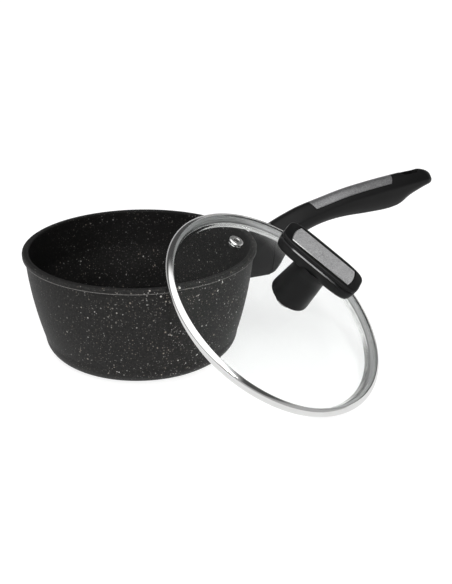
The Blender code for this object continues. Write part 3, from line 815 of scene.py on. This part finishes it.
def make_ferrule(looks):
    """The mount block, cut to the wall, the gasket behind it, and the boss that they both go over."""
    rings = [crown_section(at) for at in spaced(BLOCK_START, FERRULE_END - 0.6, 24)]
    rings.append(crown_section(FERRULE_END, shrink=0.5))
    block = lofted("handle_mount_block", rings, looks["black"])
    combine(block, wall_envelope("block_seat_cut", 2.0 * GAP + GASKET_T))
    combine(block, boss_hole("block_boss_hole"))
    combine(block, screw_hole("block_screw_hole"))
    seal_rings = [crown_section(at, shrink=GASKET_INSET) for at in spaced(BLOCK_START, GASKET_END, 14)]
    gasket = lofted("handle_mount_gasket", seal_rings, looks["rubber"])
    combine(gasket, wall_envelope("gasket_back_cut", GAP + GASKET_T), "INTERSECT")
    combine(gasket, wall_envelope("gasket_seat_cut", GAP))
    combine(gasket, boss_hole("gasket_boss_hole"))
    bore_r = SHANK_R + GAP
    profile = [(0.0, BOSS_BORE_START), (bore_r, BOSS_BORE_START), (bore_r, BOSS_END - 0.4),
               (bore_r + 0.4, BOSS_END), (BOSS_R - 0.4, BOSS_END), (BOSS_R, BOSS_END - 0.4),
               (BOSS_R, BOSS_START), (0.0, BOSS_START)]
    boss = turned("wall_weld_boss", profile, looks["raw"], screw_place(), RING_STEPS)
    combine(boss, wall_envelope("boss_seat_cut", GAP))
    return [(block, "handle_ferrule", "soft_black"), (gasket, "ferrule_gasket", "silicone"),
            (boss, "wall_boss", "raw_aluminium")]


def make_handle_fasteners(looks):
    """The washer and the screw, whose head lies in the counterbore under the grip's root."""
    place = screw_place()
    washer_low = SCREW_SEAT + GAP
    washer_high = washer_low + WASHER_T
    washer = turned("handle_screw_washer", ring_profile(CLEAR_R, WASHER_R, washer_high, washer_low),
                    looks["steel"], place, RING_STEPS, True)
    base = washer_high + GAP
    top = base + HEAD_H
    dome = through([(0.5 * HEAD_R, top), (0.74 * HEAD_R, base + 0.87 * HEAD_H),
                    (0.93 * HEAD_R, base + 0.66 * HEAD_H), (HEAD_R, base + 0.45 * HEAD_H)])
    shank = [(HEAD_R, base + 0.3), (HEAD_R - 0.3, base), (SHANK_R, base), (SHANK_R, SCREW_TIP + 0.5),
             (SHANK_R - 0.5, SCREW_TIP), (0.0, SCREW_TIP)]
    screw = turned("handle_fixing_screw", [(0.0, top)] + dome + shank, looks["steel"], place, RING_STEPS)
    combine(screw, bar("hex_cut", HEX_R, top - HEX_DEPTH, top + OVERRUN, 6, place))
    return [(washer, "screw_washer", "polished_steel"), (screw, "handle_screw", "polished_steel")]


# Lid

def lid_place():
    """Place of the lid's own frame, leaning on the pan. Its X is the long way of the knob."""
    lift = BAND_FOOT_R * math.sin(LID_TILT) + FLOOR_CLEARANCE
    place = Matrix.Translation(Vector((LID_X, LID_Y, lift)) * MM)
    turn = Matrix.Rotation(LID_LEAN, 4, "Z") @ Matrix.Rotation(LID_TILT, 4, "Y")
    return place @ turn @ Matrix.Rotation(KNOB_TWIST, 4, "Z")


def glass_height(radius):
    """Outer surface of the dome."""
    return GLASS_EDGE_Z + (GLASS_APEX_Z - GLASS_EDGE_Z) * (1.0 - (radius / GLASS_R) ** 2)


def glass_profile():
    """Domed sheet of glass with a rounded edge and a hole in the middle."""
    radii = spaced(GLASS_HOLE_R, GLASS_R - GLASS_ROUND, 40)
    outer = [(r, glass_height(r)) for r in radii]
    edge = arc(GLASS_R - GLASS_ROUND, glass_height(GLASS_R) - GLASS_ROUND, GLASS_ROUND, 70, 0, 4)
    edge += arc(GLASS_R - GLASS_ROUND, GLASS_EDGE_Z - GLASS_T + GLASS_ROUND, GLASS_ROUND, 0, -70, 4)
    inner = [(r, glass_height(r) - GLASS_T) for r in reversed(radii)]
    return outer + edge + inner


def band_profile():
    """A strip of sheet rolled over the glass, down the outside, in under it and down into the skirt."""
    t = BAND_T
    flange_z = glass_height(FLANGE_INNER_R) + GAP
    flange = [(FLANGE_INNER_R, flange_z + 0.55 * t), (FLANGE_INNER_R + 0.2, flange_z + 0.9 * t),
              (FLANGE_INNER_R + 0.5, flange_z + t)]
    wall = through([flange[-1]] + BAND_WALL + [(BAND_FOOT_R, 0.0)])[1:]
    skirt = [(SEAT_R + 1.5 * t, 0.0), (SEAT_R + 0.95 * t, -0.1), (SEAT_R + 0.7 * t, -0.5),
             (SKIRT_R + t, SKIRT_Z + 0.3), (SKIRT_R + 0.75 * t, SKIRT_Z), (SKIRT_R + 0.25 * t, SKIRT_Z),
             (SKIRT_R, SKIRT_Z + 0.3)]
    seat = [(SEAT_R - 0.65 * t, -0.3), (SEAT_R - 0.4 * t, 0.35 * t), (SEAT_R + 0.1 * t, 0.85 * t),
            (SEAT_R + 0.8 * t, t), (BAND_FOOT_R - t, t)]
    lining = through([seat[-1]] + BAND_LINING + [(FLANGE_INNER_R + 0.5, flange_z)])[1:]
    return flange + wall[1:] + skirt + seat + lining + [(FLANGE_INNER_R, flange_z + 0.1 * t)]


def seal_profile():
    """Bedding ring between the seat of the rim and the underside of the glass."""
    inner = SEAT_R + 2.0 * BAND_T
    outer = GLASS_R - GLASS_ROUND
    low = BAND_T + GAP
    return [(inner, glass_height(inner) - GLASS_T - GAP), (outer, glass_height(outer) - GLASS_T - GAP),
            (BAND_FOOT_R - GAP, low), (inner, low)]


def vent_place(place):
    """Place of the steam vent on the lid, with Z square to the dome."""
    spot = Matrix.Translation(Vector((VENT_REACH, 0.0, glass_height(VENT_REACH))) * MM)
    slope = glass_height(VENT_REACH - 0.5) - glass_height(VENT_REACH + 0.5)
    return place @ Matrix.Rotation(VENT_TURN, 4, "Z") @ spot @ Matrix.Rotation(math.atan(slope), 4, "Y")


def make_vent(looks, place, glass):
    """A flanged eyelet through the glass, closed over a collar on the underside."""
    combine(glass, bar("vent_cut", VENT_TUBE_R + GAP, -OVERRUN, OVERRUN, 64, place))
    collar_high = -GLASS_T - GAP
    collar_low = collar_high - VENT_COLLAR_T
    top = GAP + VENT_FLANGE_T
    middle = 0.5 * (VENT_BORE_R + VENT_FLANGE_R)
    crown = through([(VENT_BORE_R, top - 0.5), (VENT_BORE_R + 0.2, top - 0.12), (VENT_BORE_R + 0.75, top),
                     (middle + 0.4, top - 0.06), (VENT_FLANGE_R - 0.7, top - 0.25),
                     (VENT_FLANGE_R - 0.15, top - 0.6)], 3)
    tube = [(VENT_FLANGE_R, GAP), (VENT_TUBE_R, GAP), (VENT_TUBE_R, collar_low), (VENT_BORE_R, collar_low)]
    eyelet = turned("vent_eyelet_tube", crown + tube, looks["satin"], place, RING_STEPS, True)
    polish_between(eyelet, place, 2.0 * collar_low, 0.0, looks["steel"])
    ring = ring_profile(VENT_TUBE_R + GAP, VENT_COLLAR_R, collar_high, collar_low)
    collar = turned("vent_collar_ring", ring, looks["steel"], place, RING_STEPS, True)
    return [(eyelet, "vent_eyelet", "polished_steel"), (collar, "vent_collar", "polished_steel")]


def make_lid(looks, place):
    """The glass, its rolled rim, the bedding between them, and the steam vent."""
    glass = turned("lid_glass_dome", glass_profile(), looks["glass"], place, closed=True)
    vent = make_vent(looks, vent_place(place), glass)
    band = turned("lid_steel_rim", band_profile(), looks["steel"], place, closed=True)
    seal = turned("lid_bedding_ring", seal_profile(), looks["bedding"], place, closed=True)
    return [(glass, "lid_glass", "clear_glass"), (band, "lid_rim_band", "polished_steel"),
            (seal, "lid_rim_seal", "silicone")] + vent


# Knob

def bar_ring(inset, z):
    """Rounded-rectangle outline of the knob's bar, drawn in by an inset."""
    power = 2.0 / BAR_SQUARENESS
    ring = []
    for i in range(BAR_POINTS):
        angle = 2.0 * math.pi * (i + 0.5) / BAR_POINTS
        reach = math.copysign(abs(math.cos(angle)) ** power, math.cos(angle))
        across = math.copysign(abs(math.sin(angle)) ** power, math.sin(angle))
        ring.append(((BAR_HALF_L - inset) * reach, (BAR_HALF_W - inset) * across, z))
    return ring


def plate_ring(margin, z):
    """Long plate with bowed ends."""
    ring = []
    for side in (1.0, -1.0):
        for across in spaced(-1.0, 1.0, 25):
            reach = PLATE_HALF_L + margin + PLATE_BULGE * (1.0 - across ** 2)
            ring.append((side * reach, side * across * (PLATE_HALF_W + margin), z))
    return ring


def stem_profile():
    """Stem from inside the bar, through a soft flare, down to a rounded foot."""
    neck_z = BAR_BOTTOM_Z - 7.0
    foot_z = STEM_Z + 3.0
    inside_z = BAR_BOTTOM_Z + 4.0
    flare = through([(STEM_NECK_R + 1.2, inside_z), (STEM_NECK_R + 0.7, BAR_BOTTOM_Z - GAP),
                     (STEM_NECK_R + 0.2, 0.5 * (neck_z + BAR_BOTTOM_Z)), (STEM_NECK_R, neck_z)])
    foot = through([(STEM_FOOT_R, foot_z), (STEM_FOOT_R, STEM_Z + 1.1), (STEM_FOOT_R - 0.3, STEM_Z + 0.3),
                    (STEM_FOOT_R - 1.0, STEM_Z)])
    return [(0.0, inside_z)] + flare + foot + [(0.0, STEM_Z)]


def make_knob(looks, place):
    """The bar with its stem, the cap on the bar, and the metal plate in the cap."""
    under = through([(6.0, 0.0), (3.8, 0.35), (2.0, 1.4), (0.8, 3.4), (0.0, 8.0)], 4)
    levels = [(inset, BAR_BOTTOM_Z + up) for inset, up in under]
    levels += [(0.0, BAR_SPLIT_Z - BAR_CHAMFER), (0.85 * BAR_CHAMFER, BAR_SPLIT_Z - 0.05),
               (BAR_CHAMFER + 0.1, BAR_SPLIT_Z)]
    body = lofted("knob_grip_body", [bar_ring(inset, z) for inset, z in levels], looks["black"], place)
    polish_between(body, place, BAR_SPLIT_Z - BAR_CHAMFER, BAR_SPLIT_Z, looks["gloss"])
    combine(body, turned("stem_join", stem_profile(), None, place, 128), "UNION")
    insert_hole = bar("insert_cut", KNOB_INSERT_R + GAP, STEM_Z - OVERRUN, KNOB_INSERT_TOP + GAP, 48, place)
    combine(body, insert_hole)
    low = BAR_SPLIT_Z + GAP
    over = through([(0.0, BAR_TOP_Z - 1.3), (0.16, BAR_TOP_Z - 0.75), (0.55, BAR_TOP_Z - 0.33),
                    (0.95, BAR_TOP_Z - 0.1), (1.4, BAR_TOP_Z)], 3)
    levels = [(0.45, low), (0.1, low + 0.15), (0.0, low + 0.45)] + over
    cap = lofted("knob_grip_cap", [bar_ring(inset, z) for inset, z in levels], looks["black"], place)
    pocket_rings = [plate_ring(GAP, BAR_TOP_Z - TRIM_POCKET), plate_ring(GAP, BAR_TOP_Z + 5.0)]
    combine(cap, lofted("plate_cut", pocket_rings, None, place))
    rings = [plate_ring(0.0, BAR_TOP_Z - TRIM_T), plate_ring(0.0, BAR_TOP_Z - PLATE_BEVEL - 0.1),
             plate_ring(-PLATE_BEVEL, BAR_TOP_Z - 0.1), plate_ring(-PLATE_BEVEL - 0.15, BAR_TOP_Z - 0.05)]
    trim = lofted("knob_trim_plate", rings, looks["plate"], place)
    polish_between(trim, place, BAR_TOP_Z - PLATE_BEVEL - 0.1, BAR_TOP_Z - 0.1, looks["satin"])
    return [(body, "knob_body", "soft_black"), (cap, "knob_cap", "soft_black"),
            (trim, "knob_trim", "satin_trim")]


def make_knob_fasteners(looks, place):
    """A gasket on each side of the glass, with the washer and screw under the lower one."""
    ring = ring_profile(GLASS_HOLE_R, STEM_FOOT_R - 2.2, STEM_Z - GAP, glass_height(0.0) + GAP)
    upper = turned("knob_seat_gasket", ring, looks["rubber"], place, RING_STEPS, True)
    high = glass_height(KNOB_GASKET_R) - GLASS_T - GAP
    ring = ring_profile(GLASS_HOLE_R, KNOB_GASKET_R, high, high - KNOB_GASKET_T)
    lower = turned("knob_under_gasket", ring, looks["rubber"], place, RING_STEPS, True)
    washer_high = high - KNOB_GASKET_T - GAP
    washer_low = washer_high - KNOB_WASHER_T
    ring = ring_profile(CLEAR_R, KNOB_WASHER_R, washer_high, washer_low)
    washer = turned("knob_screw_washer", ring, looks["steel"], place, RING_STEPS, True)
    screw = make_knob_screw(looks["steel"], place, washer_low - GAP)
    return [(upper, "knob_gasket_upper", "silicone"), (lower, "knob_gasket_lower", "silicone"),
            (washer, "knob_washer", "polished_steel"), (screw, "knob_screw", "polished_steel")]


def make_knob_screw(material, place, base):
    """Screw with a domed head that hangs below its base, and a cross cut into the head."""
    low = base - KNOB_HEAD_H
    head = through([(KNOB_HEAD_R, base - 0.45 * KNOB_HEAD_H),
                    (0.95 * KNOB_HEAD_R, base - 0.75 * KNOB_HEAD_H),
                    (0.82 * KNOB_HEAD_R, base - 0.93 * KNOB_HEAD_H), (0.68 * KNOB_HEAD_R, low)])
    profile = [(0.0, KNOB_SHANK_TOP), (SHANK_R - 0.4, KNOB_SHANK_TOP), (SHANK_R, KNOB_SHANK_TOP - 0.4),
               (SHANK_R, base), (KNOB_HEAD_R - 0.2, base), (KNOB_HEAD_R, base - 0.2)] + head + [(0.0, low)]
    screw = turned("knob_fixing_screw", profile, material, place, RING_STEPS)
    half_size = Vector((CROSS_REACH, CROSS_HALF_W, CROSS_DEPTH)) * MM
    for turn in (0.0, 0.5 * math.pi):
        arm = bmesh.new()
        spot = Matrix.Translation((0.0, 0.0, low * MM)) @ Matrix.Rotation(turn, 4, "Z")
        bmesh.ops.create_cube(arm, size=2.0, matrix=spot @ Matrix.Diagonal(half_size).to_4x4())
        combine(screw, new_piece("cross_cut", arm, place))
    return screw


# Stage

def make_floor():
    """Pale floor that glows a little, as a sheet lit from below does, so that shadows stay faint."""
    bm = bmesh.new()
    bmesh.ops.create_circle(bm, cap_ends=True, segments=96, radius=FLOOR_R)
    look = Look("paper", (FLOOR_TONE, FLOOR_TONE, FLOOR_TONE), 0.9, specular_ior_level=0.05,
                emission_strength=FLOOR_GLOW)
    look.set("Emission Color", (1.0, 1.0, 1.0, 1.0))
    new_piece("floor", bm, Matrix.Translation((0.0, 0.0, -FLOOR_DROP)), look.material)


def faded(tree, value, start, end, low, high):
    """A strength that changes smoothly from low to high while the value goes from start to end."""
    node = tree.nodes.new("ShaderNodeMapRange")
    node.interpolation_type = "SMOOTHSTEP"
    tree.links.new(value, node.inputs["Value"])
    for key, number in (("From Min", start), ("From Max", end), ("To Min", low), ("To Max", high)):
        node.inputs[key].default_value = number
    return node.outputs[0]


def make_sky():
    """One broad soft light high on the left, in a dim room, with a pale sweep low down all round."""
    world = bpy.data.worlds.new("studio")
    world.use_nodes = True
    tree = world.node_tree
    place = tree.nodes.new("ShaderNodeTexCoord").outputs["Generated"]
    aim = tree.nodes.new("ShaderNodeVectorMath")
    aim.operation = "DOT_PRODUCT"
    aim.inputs[1].default_value = Vector(SKY_AIM).normalized()
    tree.links.new(place, aim.inputs[0])
    height = tree.nodes.new("ShaderNodeSeparateXYZ")
    tree.links.new(place, height.inputs[0])
    sky_start, sky_end = math.cos(SKY_SPAN[1]), math.cos(SKY_SPAN[0])
    sky = faded(tree, aim.outputs["Value"], sky_start, sky_end, ROOM_POWER, SKY_POWER)
    sweep_start, sweep_end = math.sin(SWEEP_SPAN[0]), math.sin(SWEEP_SPAN[1])
    sweep = faded(tree, height.outputs[2], sweep_start, sweep_end, SWEEP_POWER, ROOM_POWER)
    brighter = tree.nodes.new("ShaderNodeMath")
    brighter.operation = "MAXIMUM"
    tree.links.new(sky, brighter.inputs[0])
    tree.links.new(sweep, brighter.inputs[1])
    tree.links.new(brighter.outputs[0], tree.nodes["Background"].inputs["Strength"])
    tree.nodes["Background"].inputs["Color"].default_value = (1.0, 1.0, 1.0, 1.0)
    bpy.context.scene.world = world
    bpy.context.scene.view_settings.view_transform = "Standard"


def make_front_light():
    """A small soft lamp over the camera, which draws the bright lines along the edges."""
    lamp = bpy.data.lights.new("front_light", "AREA")
    lamp.shape = "DISK"
    lamp.size = FRONT_SIZE
    lamp.energy = FRONT_POWER
    obj = bpy.data.objects.new("front_light", lamp)
    bpy.context.scene.collection.objects.link(obj)
    aim = Vector(FRONT_AIM) - Vector(FRONT_PLACE)
    turn = aim.to_track_quat("-Z", "Y").to_matrix().to_4x4()
    obj.matrix_world = Matrix.Translation(FRONT_PLACE) @ turn


def make_camera():
    """The camera that was fitted to the view in the photo."""
    forward = Vector(CAMERA_AIM).normalized()
    level = forward.cross(Vector((0.0, 0.0, 1.0))).normalized()
    upright = level.cross(forward)
    right = math.cos(CAMERA_ROLL) * level + math.sin(CAMERA_ROLL) * upright
    up = math.cos(CAMERA_ROLL) * upright - math.sin(CAMERA_ROLL) * level
    lens = bpy.data.cameras.new("camera")
    lens.sensor_fit = "VERTICAL"
    lens.sensor_height = SENSOR_HEIGHT
    lens.lens = CAMERA_LENS
    lens.clip_start = 0.01
    camera = bpy.data.objects.new("camera", lens)
    bpy.context.scene.collection.objects.link(camera)
    turn = Matrix((right, up, -forward)).transposed().to_4x4()
    camera.matrix_world = Matrix.Translation(CAMERA_PLACE) @ turn
    bpy.context.scene.camera = camera


# Assembly

def mount(pieces, body):
    """Each piece rides on its body and stands for its CAD node."""
    for obj, node, slot in pieces:
        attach(obj, body)
        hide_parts(node)


def main():
    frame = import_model()
    looks = make_looks()
    make_camera()
    make_sky()
    make_front_light()
    make_floor()
    mount(make_pan(looks) + make_handle(looks) + make_ferrule(looks) + make_handle_fasteners(looks), "pan")
    place = lid_place()
    mount(make_lid(looks, place) + make_knob(looks, place) + make_knob_fasteners(looks, place), "lid")
    # The insert inside the knob keeps its CAD mesh.
    frame["nodes"]["knob_insert"].material_slots[0].material = looks["brass"]


main()
